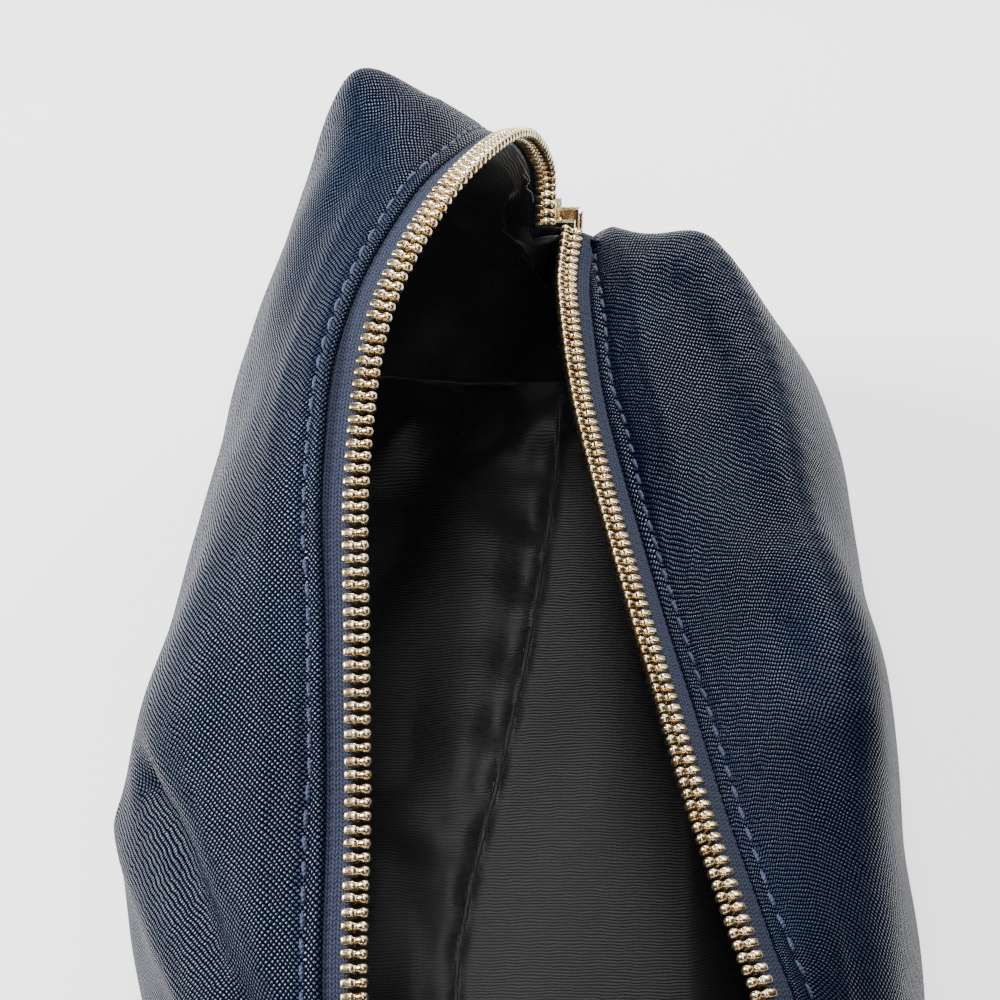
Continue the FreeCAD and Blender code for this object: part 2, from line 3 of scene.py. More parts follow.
import bpy
import numpy as np
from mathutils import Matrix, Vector


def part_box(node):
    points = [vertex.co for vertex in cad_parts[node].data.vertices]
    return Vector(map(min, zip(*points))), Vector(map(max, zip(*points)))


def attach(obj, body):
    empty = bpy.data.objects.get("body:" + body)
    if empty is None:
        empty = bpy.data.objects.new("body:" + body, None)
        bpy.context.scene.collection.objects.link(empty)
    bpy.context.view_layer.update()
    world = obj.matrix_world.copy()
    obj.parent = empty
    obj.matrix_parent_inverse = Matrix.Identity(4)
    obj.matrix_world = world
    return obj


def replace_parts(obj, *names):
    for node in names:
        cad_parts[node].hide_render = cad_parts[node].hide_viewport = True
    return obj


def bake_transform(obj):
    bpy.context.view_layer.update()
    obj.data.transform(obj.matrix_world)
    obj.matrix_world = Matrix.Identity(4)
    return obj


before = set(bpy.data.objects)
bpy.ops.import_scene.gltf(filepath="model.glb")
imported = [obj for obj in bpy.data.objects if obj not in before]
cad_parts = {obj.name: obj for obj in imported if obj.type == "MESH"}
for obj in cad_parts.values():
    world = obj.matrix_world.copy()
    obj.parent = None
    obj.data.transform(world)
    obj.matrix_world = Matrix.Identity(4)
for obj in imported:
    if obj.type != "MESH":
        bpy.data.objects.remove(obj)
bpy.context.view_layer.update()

# A soft navy leather zip bag with its mouth open. Lengths here are millimetres until a mesh
# is made, where MM turns them into metres.
MM = 0.001
rng = np.random.default_rng(7)

# ---------------------------------------------------------------- outlines, as in the CAD
HALF_LENGTH, HALF_WIDTH, HEIGHT = 115.0, 68.5, 124.0
ZIP_X = 11.2
SEAM_TOP, LINING_TOP = 27.5, 38.5
EDGE_REACH = 7.9
# Where the end seams and the ends of the zip stand, in percent as the outlines below.
SEAM_END, TAPE_END, TAPE_END_LEVEL = 96.5, 95.2, 34
TOOTH_PITCH = 2.2
STITCH_PITCH = 4.1
LEFT_SLOPE, RIGHT_SLOPE = 14.0, 24.0
# Each point is (x, y, z) in percent of the half width, the half length and the height, and x
# is counted from the middle of the zip. Rows go up the wall, from the base to the top.
LEFT_ROWS = [
    [(0, 90, 0), (-13, 91, 0), (-34, 91, 0), (-57, 90, 0), (-77, 85, 0), (-89, 73, 0),
     (-93, 48, 0), (-96, 17, 0), (-98, -9, 0), (-96, -35, 0), (-93, -59, 0), (-86, -78, 0),
     (-69, -89, 0), (-42, -91, 0), (-19, -91, 0), (0, -90, 0)],
    [(0, 95, 10), (-15, 96, 15), (-35, 97, 18), (-58, 96, 19), (-79, 89, 20), (-90, 71, 21),
     (-96, 45, 21), (-103, 17, 21), (-108, -7, 21), (-105, -33, 21), (-98, -59, 21),
     (-88, -80, 20), (-72, -94, 19), (-45, -97, 18), (-22, -97, 15), (0, -95, 10)],
    [(0, 97, 18), (-15, 98, 26), (-34, 98.5, 35), (-55, 98.5, 47), (-71, 90, 50), (-81, 71, 50),
     (-90, 43, 50), (-100, 16, 50), (-109, -9, 50), (-106, -33, 48), (-98, -57, 47),
     (-86, -80, 45), (-68, -96, 40), (-44, -99, 34), (-23, -99, 26), (0, -97, 18)],
    [(0, 97, 22), (-13, 98, 34), (-26, 98, 47), (-41, 96, 68), (-57, 94.5, 80), (-65, 74, 79),
     (-76, 43, 79), (-88, 15, 79), (-98, -10, 77), (-93, -35, 74), (-85, -59, 72),
     (-74, -82, 66), (-53, -97, 55), (-36, -99, 44), (-19, -98, 34), (0, -97, 22)],
    [(0, 97, 25), (-11, 98, 38), (-18, 97.5, 50), (-28, 91.5, 73), (-42, 86, 85),
     (-54, 65, 88.5), (-67, 39, 90.5), (-74, 13, 90.5), (-79, -11, 88), (-77, -36, 83),
     (-76, -61, 79), (-67, -82, 72), (-47, -97, 60), (-28, -99, 48), (-13, -98, 38), (0, -97, 25)],
]
RIGHT_ROWS = [
    [(0, 90, 0), (8, 90, 0), (23, 90, 0), (39, 88, 0), (54, 80, 0), (62, 65, 0),
     (68, 43, 0), (70, 19, 0), (71, -4, 0), (70, -30, 0), (67, -57, 0), (58, -77, 0),
     (41, -88, 0), (22, -91, 0), (10, -91, 0), (0, -90, 0)],
    [(0, 95, 10), (10, 96, 11), (25, 96, 14), (42, 92, 15), (58, 83, 16), (70, 66, 17),
     (77, 43, 18), (83, 19, 18), (86, -5, 18), (84, -31, 18), (80, -57, 18), (68, -80, 18),
     (46, -93, 16), (24, -97, 14), (11, -97, 12), (0, -95, 10)],
    [(0, 97, 18), (11, 97.5, 21), (25, 97, 28), (40, 92, 32), (57, 79, 36), (70, 64, 37.5),
     (77, 41, 39.5), (82, 19, 40), (86, -4, 40), (87, -31, 40), (87, -57, 39), (74, -80, 36),
     (48, -96, 31), (26, -99, 24), (13, -98, 20), (0, -97, 18)],
    [(0, 97, 22), (12, 97, 31), (24, 95, 37), (38, 90.5, 44), (49, 75, 50), (56, 56, 56),
     (62, 33, 61), (70, 14, 64.5), (76, -8, 66), (77, -33, 64.5), (78, -59, 61), (67, -81, 55),
     (46, -96, 43.5), (26, -99, 34), (13, -98, 28), (0, -97, 22)],
    [(0, 97, 25), (10.5, 97, 34.5), (17, 92.5, 42), (24, 83, 47), (28, 66, 52), (33, 46, 58),
     (41, 25, 64), (48, 6, 69), (55, -15, 72), (61, -38, 72), (65, -61, 69.5), (59, -79, 64),
     (43, -94, 53), (23, -99, 42), (11, -98, 34), (0, -97, 25)],
]
LEFT_MOUTH = [
    (-1, 95.5, 40.5), (-1.5, 97.5, 53), (-8, 89, 72.5), (-18, 73, 88.5), (-30, 57, 96),
    (-42.5, 36, 99), (-47, 11, 98.5), (-46.5, -13, 94.5), (-45.8, -36, 89), (-46, -62.5, 84.5),
    (-42.5, -80, 77.5), (-30, -92, 64.5), (-13.5, -96.5, 51.5), (-1, -96.5, 40.5),
]
RIGHT_MOUTH = [
    (1, 95, 40.5), (-0.8, 85, 43.5), (-1, 76, 47), (1.3, 57, 52.5), (5.5, 39, 58),
    (14.5, 8, 67.5), (21, -11, 72.5), (28, -30, 75.5), (36.5, -49, 77), (42, -61, 76.5),
    (42, -74, 72.5), (30.5, -87, 63), (13, -95.5, 50), (1, -96.5, 40.5),
]
FLOOR_SEAM = [(12, 94), (10, 72), (5, 40), (0, 15), (-6, -12), (-8, -35), (-4, -65), (8, -96)]
SIDES = {
    "left": (LEFT_ROWS, LEFT_MOUTH, -1, LEFT_SLOPE),
    "right": (RIGHT_ROWS, RIGHT_MOUTH, 1, RIGHT_SLOPE),
}
# Steps up a wall, and steps in each span of an outline, of which there are SPANS round a side.
UP, SPAN_STEPS = 90, 28
SPANS = len(LEFT_ROWS[0]) - 1
AROUND = SPANS * SPAN_STEPS
MOUTH_STEPS = 600


def placed(points):
    """Outline points in percent, as millimetres in the bag's frame."""
    p = np.array(points, float)
    return np.column_stack([ZIP_X + p[:, 0] * HALF_WIDTH / 100, p[:, 1] * HALF_LENGTH / 100,
                            p[:, 2] * HEIGHT / 100])


def eased(points, count):
    """A smooth run of count + 1 points through the given ones."""
    p = np.asarray(points, float)
    ends = np.concatenate([[2 * p[0] - p[1]], p, [2 * p[-1] - p[-2]]])
    along = np.arange(count + 1) * (len(p) - 1) / count
    start = np.minimum(along.astype(int), len(p) - 2)
    t = (along - start).reshape((-1,) + (1,) * (p.ndim - 1))
    p0, p1, p2, p3 = (ends[start + k] for k in range(4))
    bend = (2 * p0 - 5 * p1 + 4 * p2 - p3) * t ** 2 + (3 * p1 - p0 - 3 * p2 + p3) * t ** 3
    return 0.5 * (2 * p1 + (p2 - p0) * t + bend)


def unit(v):
    """Vectors at length 1."""
    return v / np.maximum(np.linalg.norm(v, axis=-1, keepdims=True), 1e-9)


def run_length(line):
    """Distance along a line of points, from its first."""
    return np.concatenate([[0], np.cumsum(np.linalg.norm(np.diff(line, axis=0), axis=1))])


def even(line, spacing, start=0.0, finish=0.0):
    """Points at an even spacing along a line of points, and their directions."""
    length = run_length(line)
    at = np.arange(start, length[-1] - finish, spacing)
    points = np.column_stack([np.interp(at, length, line[:, k]) for k in range(3)])
    tangents = unit(np.gradient(line, length, axis=0))
    tangents = unit(np.column_stack([np.interp(at, length, tangents[:, k]) for k in range(3)]))
    return points, tangents


def outward(tangents, side, slope):
    """The direction across the tape from the teeth to the leather, at each point."""
    angle = math.radians(slope)
    across = np.array([side * math.cos(angle), 0, -math.sin(angle)])
    across = across - tangents * (tangents @ across)[:, None]
    return unit(across)


def mouth_frame(side_name, spacing, start=0.0, finish=0.0, to_stops=False):
    """Points of the tooth-head line with the directions along, across and out of the zip."""
    _, mouth, side, slope = SIDES[side_name]
    line = eased(placed(mouth), MOUTH_STEPS)
    if to_stops:
        low_ends = placed([(side, TAPE_END, TAPE_END_LEVEL), (side, -TAPE_END, TAPE_END_LEVEL)])
        line = np.concatenate([low_ends[:1], line, low_ends[1:]])
    points, tangents = even(line, spacing, start, finish)
    across = outward(tangents, side, slope)
    normal = np.cross(across, tangents) * -side
    return points, tangents, across, normal


def panel_grid(side_name, seam_top=SEAM_TOP):
    """Points on the leather's outer face, from the base edge (row 0) to the folded edge."""
    rows, mouth, side, slope = SIDES[side_name]
    lines = [eased(placed(row), AROUND) for row in rows]
    heads = eased(placed(mouth), (SPANS - 2) * SPAN_STEPS)
    edge = heads + outward(unit(np.gradient(heads, axis=0)), side, slope) * EDGE_REACH
    ends = placed([(0, SEAM_END, seam_top), (0, -SEAM_END, seam_top)])
    rim = eased(np.concatenate([ends[:1], edge[::SPAN_STEPS], ends[1:]]), AROUND)
    rim[SPAN_STEPS:-SPAN_STEPS] = edge
    return eased(np.array(lines + [rim]), UP)


def grid_normals(grid, side):
    """Directions into the bag at each point of a grid."""
    up = np.gradient(grid, axis=0)
    around = np.gradient(grid, axis=1)
    return unit(np.cross(up, around) * -side)


# ---------------------------------------------------------------- mesh helpers
def new_object(name, verts, faces, uv=None):
    """A smooth-shaded mesh from points in millimetres, with its map of the cloth."""
    mesh = bpy.data.meshes.new(name)
    mesh.from_pydata((np.asarray(verts) * MM).tolist(), [], [tuple(f) for f in faces])
    if uv is not None:
        layer = mesh.uv_layers.new(name="cloth_mm")
        index = np.zeros(len(mesh.loops), int)
        mesh.loops.foreach_get("vertex_index", index)
        layer.data.foreach_set("uv", np.asarray(uv, float)[index].ravel())
    mesh.polygons.foreach_set("use_smooth", [True] * len(mesh.polygons))
    mesh.update()
    obj = bpy.data.objects.new(name, mesh)
    bpy.context.scene.collection.objects.link(obj)
    return obj


def grid_faces(rows, columns, wrap_rows=False, flip=False):
    """Quads of a grid of points. wrap_rows joins the last row to the first."""
    i = np.arange(rows if wrap_rows else rows - 1)[:, None]
    j = np.arange(columns - 1)[None, :]
    a = i * columns + j
    b = a + 1
    c = ((i + 1) % rows) * columns + j + 1
    d = c - 1
    quads = np.stack([a + 0 * j, b + 0 * j, c, d], axis=-1).reshape(-1, 4)
    return quads[:, ::-1] if flip else quads


def tube_faces(count, columns, flip=False, turn_ends=False):
    """Quads round a tube of count lines of points, with its two ends closed."""
    first = tuple(i * columns for i in range(count))
    last = tuple((i + 1) * columns - 1 for i in range(count))
    faces = [tuple(f) for f in grid_faces(count, columns, wrap_rows=True, flip=flip)]
    faces.append(first[::-1] if turn_ends else first)
    faces.append(last if turn_ends else last[::-1])
    return faces


def skin_faces(count, columns, flip, turn_ends):
    """Quads of a thin skin, front rows then back rows, with its two end edges closed."""
    faces = [tuple(f) for f in grid_faces(count, columns, wrap_rows=True, flip=flip)]
    for column in (0, columns - 1):
        for k in range(count // 2 - 1):
            face = (k * columns + column, (k + 1) * columns + column,
                    (count - 2 - k) * columns + column, (count - 1 - k) * columns + column)
            faces.append(face[::-1] if (column == 0) == turn_ends else face)
    return faces


def repeated(template, template_faces, points, x_axes, y_axes, z_axes):
    """Copies of one small shape, each in its own frame."""
    spots = (points[:, None, :] + template[None, :, :1] * x_axes[:, None, :]
             + template[None, :, 1:2] * y_axes[:, None, :]
             + template[None, :, 2:3] * z_axes[:, None, :])
    count = len(template)
    faces = []
    for copy in range(len(points)):
        faces.extend([tuple(k + copy * count for k in face) for face in template_faces])
    return spots.reshape(-1, 3), faces


def lofted(sections):
    """A closed shape through rings of points of equal count, with capped ends."""
    rings, around = len(sections), len(sections[0])
    verts = [tuple(p) for ring in sections for p in ring]
    faces = []
    for i in range(rings - 1):
        for j in range(around):
            k = (j + 1) % around
            faces.append((i * around + j, i * around + k, (i + 1) * around + k, (i + 1) * around + j))
    faces.append(tuple(range(around))[::-1])
    faces.append(tuple((rings - 1) * around + j for j in range(around)))
    return np.array(verts), faces


# ---------------------------------------------------------------- materials
def material(name, colour, roughness, metallic=0.0):
    """A new node material and its shader."""
    made = bpy.data.materials.new(name)
    made.use_nodes = True
    shader = made.node_tree.nodes["Principled BSDF"]
    shader.inputs["Base Color"].default_value = (*colour, 1)
    shader.inputs["Roughness"].default_value = roughness
    shader.inputs["Metallic"].default_value = metallic
    return made, shader


class Nodes:
    """Short names for building a node tree."""

    def __init__(self, made):
        self.tree = made.node_tree

    def add(self, kind, **settings):
        node = self.tree.nodes.new(kind)
        for key, value in settings.items():
            setattr(node, key, value)
        return node

    def link(self, source, target):
        self.tree.links.new(source, target)

    def feed(self, node, index, value):
        if isinstance(value, (int, float)):
            node.inputs[index].default_value = value
        else:
            self.link(value, node.inputs[index])

    def maths(self, operation, a, b=0.0):
        node = self.add("ShaderNodeMath", operation=operation)
        self.feed(node, 0, a)
        self.feed(node, 1, b)
        return node.outputs[0]

    def uv(self, flat=False):
        """Millimetres over the cloth, or over the ground for a flat piece with no map of its own."""
        if flat:
            node = self.add("ShaderNodeVectorMath", operation="SCALE")
            node.inputs["Scale"].default_value = 1 / MM
            self.link(self.coordinates(), node.inputs[0])
        else:
            node = self.add("ShaderNodeUVMap", uv_map="cloth_mm")
        parts = self.add("ShaderNodeSeparateXYZ")
        self.link(node.outputs[0], parts.inputs[0])
        return node.outputs[0], parts.outputs[0], parts.outputs[1]

    def coordinates(self):
        return self.add("ShaderNodeTexCoord").outputs["Object"]

    def noise(self, vector, scale, detail=3.0, roughness=0.5):
        node = self.add("ShaderNodeTexNoise")
        self.link(vector, node.inputs["Vector"])
        node.inputs["Scale"].default_value = scale
        node.inputs["Detail"].default_value = detail
        node.inputs["Roughness"].default_value = roughness
        return node.outputs["Fac"]

    def ramp(self, value, stops):
        node = self.add("ShaderNodeValToRGB")
        ramp = node.color_ramp
        while len(ramp.elements) < len(stops):
            ramp.elements.new(0.5)
        for element, (at, colour) in zip(ramp.elements, stops):
            element.position = at
            element.color = (*colour, 1)
        self.link(value, node.inputs[0])
        return node.outputs[0]

    def spread(self, value, low, high, to_low, to_high):
        node = self.add("ShaderNodeMapRange")
        self.link(value, node.inputs[0])
        for index, number in enumerate((low, high, to_low, to_high), start=1):
            node.inputs[index].default_value = number
        return node.outputs[0]

    def bump(self, height, distance, strength=1.0):
        node = self.add("ShaderNodeBump")
        node.inputs["Strength"].default_value = strength
        node.inputs["Distance"].default_value = distance
        self.link(height, node.inputs["Height"])
        return node.outputs[0]


def hatched_leather(name, dark, light, pitch, flat=False):
    """Leather embossed with two crossing families of fine diagonal lines, leaving raised dots, with
    painted shade darkening the grooves between them.
    """
    made, shader = material(name, light, 0.3)
    n = Nodes(made)
    vector, u, v = n.uv(flat)
    wobble = n.spread(n.noise(vector, 0.22, 2.0), 0.0, 1.0, -0.8, 0.8)
    cycle = math.pi / pitch / math.sqrt(2)
    a = n.maths("MULTIPLY", n.maths("ADD", n.maths("ADD", u, v), wobble), cycle)
    b = n.maths("MULTIPLY", n.maths("SUBTRACT", n.maths("SUBTRACT", u, v), wobble), cycle)
    ridge_a = n.maths("ABSOLUTE", n.maths("SINE", a))
    ridge_b = n.maths("ABSOLUTE", n.maths("SINE", b))
    dots = n.maths("POWER", n.maths("MULTIPLY", ridge_a, ridge_b), 1.15)
    fine = n.noise(vector, 3.1, 3.0, 0.6)
    height = n.maths("ADD", dots, n.maths("MULTIPLY", fine, 0.25))
    broad = n.noise(vector, 0.03, 3.0)
    # Darker in the grooves, lighter on the dots: painted shade in the grooves. The broad noise is the
    # leather's own uneven colour.
    shaded_tone = n.maths("ADD", n.maths("MULTIPLY", dots, 0.8), n.maths("MULTIPLY", broad, 0.25))
    n.link(n.ramp(shaded_tone, [(0.2, dark), (0.95, light)]), shader.inputs["Base Color"])
    n.link(n.spread(dots, 0.0, 0.9, 0.6, 0.27), shader.inputs["Roughness"])
    n.link(n.spread(dots, 0.3, 0.85, 0.0, 0.5), shader.inputs["Specular IOR Level"])
    n.link(n.bump(height, 0.00008, 1.0), shader.inputs["Normal"])
    return made


def ribbed_satin(name, dark, light):
    """A black lining with fine ribs across it and a soft gloss."""
    made, shader = material(name, light, 0.4)
    n = Nodes(made)
    vector, u, v = n.uv()
    rib = n.maths("SINE", n.maths("MULTIPLY", n.maths("ADD", v, n.noise(vector, 0.25, 2.0)),
                                  2 * math.pi / 0.62))
    yarn = n.maths("SINE", n.maths("MULTIPLY", u, 2 * math.pi / 0.33))
    slub = n.noise(vector, 0.9, 4.0, 0.65)
    height = n.maths("ADD", n.maths("ADD", n.maths("MULTIPLY", rib, 0.5),
                                    n.maths("MULTIPLY", yarn, 0.14)), n.maths("MULTIPLY", slub, 0.9))
    # The colour follows the ribs, darker in their hollows: painted shade. The slub noise is the cloth's
    # own uneven colour.
    n.link(n.ramp(n.maths("ADD", n.maths("MULTIPLY", rib, 0.18), slub), [(0.25, dark), (0.85, light)]),
           shader.inputs["Base Color"])
    n.link(n.spread(slub, 0.3, 0.7, 0.44, 0.6), shader.inputs["Roughness"])
    n.link(n.bump(height, 0.00006, 0.8), shader.inputs["Normal"])
    shader.inputs["Specular IOR Level"].default_value = 0.4
    shader.inputs["Sheen Weight"].default_value = 0.25
    shader.inputs["Sheen Roughness"].default_value = 0.35
    return made


def woven_tape(name, dark, light):
    """Knitted zip tape: rows of small slanted loops running along it."""
    made, shader = material(name, light, 0.75)
    n = Nodes(made)
    vector, u, v = n.uv()
    row = n.maths("PINGPONG", v, 0.55)
    slant = n.maths("ADD", u, n.maths("MULTIPLY", row, 1.1))
    loop = n.maths("ABSOLUTE", n.maths("SINE", n.maths("MULTIPLY", slant, math.pi / 0.75)))
    rows = n.maths("ABSOLUTE", n.maths("SINE", n.maths("MULTIPLY", v, math.pi / 0.55)))
    weave = n.maths("MULTIPLY", n.maths("POWER", loop, 0.6), n.maths("POWER", rows, 0.5))
    fuzz = n.noise(vector, 5.0, 3.0, 0.6)
    # Darker in the gaps between the loops: painted shade. The fuzz noise is the yarn's own uneven
    # colour.
    shaded_tone = n.maths("ADD", n.maths("MULTIPLY", weave, 0.7), n.maths("MULTIPLY", fuzz, 0.4))
    n.link(n.ramp(shaded_tone, [(0.3, dark), (0.85, light)]), shader.inputs["Base Color"])
    n.link(n.bump(n.maths("ADD", weave, n.maths("MULTIPLY", fuzz, 0.3)), 0.00018, 1.0),
           shader.inputs["Normal"])
    shader.inputs["Specular IOR Level"].default_value = 0.25
    shader.inputs["Sheen Weight"].default_value = 0.05
    return made


def plated_metal(name, dark, light, roughness):
    """Pale gold plate with faint tarnish and fine marks."""
    made, shader = material(name, light, roughness, 1.0)
    n = Nodes(made)
    where = n.coordinates()
    stain = n.noise(where, 420.0, 3.0)
    marks = n.noise(where, 2600.0, 2.0)
    n.link(n.ramp(stain, [(0.3, dark), (0.6, light)]), shader.inputs["Base Color"])
    n.link(n.spread(marks, 0.3, 0.7, roughness * 0.7, roughness * 1.5), shader.inputs["Roughness"])
    n.link(n.bump(marks, 0.000006, 0.5), shader.inputs["Normal"])
    return made


def twisted_thread(name, dark, light):
    """Sewing thread with its twist running round it."""
    made, shader = material(name, light, 0.5)
    n = Nodes(made)
    _, u, v = n.uv()
    twist = n.maths("SINE", n.maths("ADD", n.maths("MULTIPLY", u, 2 * math.pi / 0.7),
                                    n.maths("MULTIPLY", v, 2 * math.pi)))
    # Darker along the grooves of the twist: painted shade.
    shaded_tone = n.spread(twist, -1.0, 1.0, 0.0, 1.0)
    n.link(n.ramp(shaded_tone, [(0.2, dark), (0.8, light)]), shader.inputs["Base Color"])
    n.link(n.bump(shaded_tone, 0.00008, 0.9), shader.inputs["Normal"])
    shader.inputs["Sheen Weight"].default_value = 0.2
    return made


def smooth_leather(name, dark, light):
    """Dark leather with fine pores and a low shine."""
    made, shader = material(name, light, 0.35)
    n = Nodes(made)
    where = n.coordinates()
    pores = n.noise(where, 1800.0, 4.0, 0.6)
    n.link(n.ramp(n.noise(where, 160.0, 3.0), [(0.3, dark), (0.7, light)]), shader.inputs["Base Color"])
    n.link(n.spread(pores, 0.3, 0.7, 0.26, 0.5), shader.inputs["Roughness"])
    n.link(n.bump(pores, 0.00006, 0.7), shader.inputs["Normal"])
    shader.inputs["Specular IOR Level"].default_value = 0.25
    return made


def grey_board(name, dark, light):
    """Pressed fibre board."""
    made, shader = material(name, light, 0.9)
    n = Nodes(made)
    where = n.coordinates()
    fibre = n.noise(where, 900.0, 5.0, 0.7)
    n.link(n.ramp(fibre, [(0.3, dark), (0.7, light)]), shader.inputs["Base Color"])
    n.link(n.bump(fibre, 0.0001, 0.6), shader.inputs["Normal"])
    return made


# The darker navy is painted shade for the grooves of the grain; the lighter navy is the leather's own
# colour.
NAVY_GROOVE_SHADE, NAVY_LIGHT = (0.0003, 0.001, 0.0045), (0.0055, 0.017, 0.049)
GRAIN_PITCH = 0.72
LEATHER = hatched_leather("navy_hatched_leather", NAVY_GROOVE_SHADE, NAVY_LIGHT, GRAIN_PITCH)
BASE_LEATHER = hatched_leather("navy_base_leather", NAVY_GROOVE_SHADE, NAVY_LIGHT, GRAIN_PITCH, flat=True)
SATIN = ribbed_satin("black_ribbed_satin", (0.007, 0.007, 0.0075), (0.034, 0.032, 0.034))
# The tape's darker blue is painted shade in the gaps of the knit.
TAPE = woven_tape("navy_zip_tape", (0.001, 0.002, 0.008), (0.03, 0.042, 0.088))
GOLD = plated_metal("pale_gold_plate", (0.62, 0.42, 0.2), (0.93, 0.76, 0.5), 0.26)
THREAD = twisted_thread("blue_thread", (0.002, 0.006, 0.03), (0.01, 0.03, 0.11))
LOOSE_THREAD = twisted_thread("grey_thread", (0.12, 0.12, 0.13), (0.3, 0.3, 0.31))
DARK_LEATHER = smooth_leather("dark_edge_leather", (0.004, 0.0045, 0.007), (0.016, 0.017, 0.024))
PULL_THREAD = smooth_leather("dull_blue_thread", (0.01, 0.02, 0.06), (0.03, 0.06, 0.16))
BOARD = grey_board("stiffener_board", (0.2, 0.16, 0.12), (0.42, 0.36, 0.28))


def dress(obj, made):
    """Give a piece one material."""
    obj.data.materials.clear()
    obj.data.materials.append(made)


# ---------------------------------------------------------------- leather sides
FOLD_THICK = 1.7
ROLL_STEPS, ROLL_LENGTH = 7, 3.0
GROUND_GAP = 0.05
# The hem's lift, the groove that holds the stitches and the ridge below it: (height in mm,
# distance from the folded edge, width).
HEM, STITCH_GROOVE, HEM_RIDGE = (1.3, 0.0, 11.0), (-0.5, 2.1, 0.8), (0.18, 10.0, 1.6)


def waves(grid, seed, size_mm, depth):
    """A gentle unevenness over a surface, from a few crossing waves."""
    draw = np.random.default_rng(seed)
    total = np.zeros(grid.shape[:2])
    for _ in range(7):
        direction = unit(draw.normal(size=3))
        phase = draw.uniform(0, 2 * math.pi)
        wavelength = size_mm * draw.uniform(0.7, 1.6)
        total += np.sin(grid @ direction * 2 * math.pi / wavelength + phase)
    return total * depth / 3


def ditch(grid, points, width):
    """How close each point of a grid is to a line of points: 1 on it, fading over a width."""
    line = eased(points, 24)
    nearest = np.full(grid.shape[:2], 1e9)
    for point in line:
        nearest = np.minimum(nearest, ((grid - point) ** 2).sum(-1))
    return np.exp(-nearest / (2 * width ** 2))


def rim_distance(grid):
    """Distance of each point from the folded edge, along its own column."""
    steps = np.linalg.norm(np.diff(grid, axis=0), axis=2)
    below = np.concatenate([np.cumsum(steps[::-1], axis=0)[::-1], np.zeros((1, grid.shape[1]))])
    return below


# Lines on the sides where the leather folds in (valleys) or stands out (ridges).
LEFT_VALLEY = [(-60, -26, 85), (-50, -44, 91), (-41, -67, 95), (-35, -82, 92)]
LEFT_TUBE = [(-64, -24, 65), (-57, -44, 78), (-51, -62, 85), (-46, -80, 86)]
LEFT_CREST = [(-60, -19, 88), (-50, -16, 102), (-38, 10, 112), (-30, 30, 116)]
RIGHT_CREST = [(37, 100, 57), (44, 76, 68), (51, 46, 79), (55, 15, 86), (58, -12, 86)]
RIGHT_HOLLOW = [(36, 84, 60), (42, 58, 72), (46, 30, 82)]


def fold_lift(grid, side):
    """How far the large folds push a side out (or in, below zero) at each point."""
    if side < 0:
        lift = -5.6 * ditch(grid, np.array(LEFT_VALLEY, float), 3.8)
        lift += 2.0 * ditch(grid, np.array(LEFT_TUBE, float), 4.0)
        return lift + 1.2 * ditch(grid, np.array(LEFT_CREST, float), 8.0)
    lift = 1.6 * ditch(grid, np.array(RIGHT_CREST, float), 5.0)
    return lift - 1.6 * ditch(grid, np.array(RIGHT_HOLLOW, float), 6.0)


def leather_surface(side_name):
    """The outer face of a side with its hem lift, stitch groove, seams and soft unevenness."""
    side = SIDES[side_name][2]
    grid = panel_grid(side_name)
    normal = -grid_normals(grid, side)
    edge = rim_distance(grid)
    across = np.minimum(np.arange(AROUND + 1), AROUND - np.arange(AROUND + 1))[None, :]
    hem = np.clip((across - 0.6 * SPAN_STEPS) / SPAN_STEPS, 0, 1)
    lift = np.zeros(grid.shape[:2])
    for high, place, width in (HEM, STITCH_GROOVE, HEM_RIDGE):
        lift += high * np.exp(-((edge - place) / width) ** 2) * hem
    seam = np.abs(grid[:, :, 0] - ZIP_X) * (np.abs(grid[:, :, 1]) > 0.85 * HALF_LENGTH)
    near_seam = np.where(across < AROUND // 12, np.exp(-(seam / 2.6) ** 2), 0)
    lift -= 1.1 * near_seam
    lift += waves(grid, 3 if side < 0 else 5, 62, 0.8) * np.clip(edge / 25, 0, 1)
    lift += waves(grid, 13 if side < 0 else 15, 24, 0.22) * np.clip(edge / 25, 0, 1)
    lift += fold_lift(grid, side)
    height = grid[:, :, 2]
    lift -= 2.2 * np.clip(1 - height / 7.0, 0, 1) ** 2
    moved = grid + normal * lift[:, :, None]
    moved[:, :, 2] = np.maximum(moved[:, :, 2], GROUND_GAP)
    for column in (0, -1):
        moved[:, column, 0] = grid[:, column, 0]
    return moved


def surface_uv(grid):
    """Millimetres round and up a surface, so that a pattern keeps nearly its real size on it."""
    around = np.zeros(grid.shape[:2])
    around[:, 1:] = np.cumsum(np.linalg.norm(np.diff(grid, axis=1), axis=2), axis=1)
    around = around.mean(axis=0, keepdims=True) + 0 * around
    return np.stack([around, -rim_distance(grid)], axis=-1)


def softened(directions, reach):
    """Directions averaged with their neighbours along a row, so that corners turn gradually."""
    padded = np.pad(directions, ((0, 0), (reach, reach), (0, 0)), "edge")
    total = sum(padded[:, k:k + directions.shape[1]] for k in range(2 * reach + 1))
    return unit(total)


def rolled_edge(outer, normal, uv):
    """Rows that turn over the mouth's folded edge, from the outer face to the inner one."""
    up = softened(unit(outer[-1:] - outer[-2:-1]), 8)[0]
    radius = FOLD_THICK / 2
    centre = outer[-1] - normal[-1] * radius
    roll, roll_uv = [], []
    for step in range(1, ROLL_STEPS):
        angle = math.pi * step / ROLL_STEPS
        roll.append(centre + normal[-1] * radius * math.cos(angle) + up * radius * math.sin(angle))
        roll_uv.append(uv[-1] + np.array([0, radius * angle]))
    return roll, roll_uv


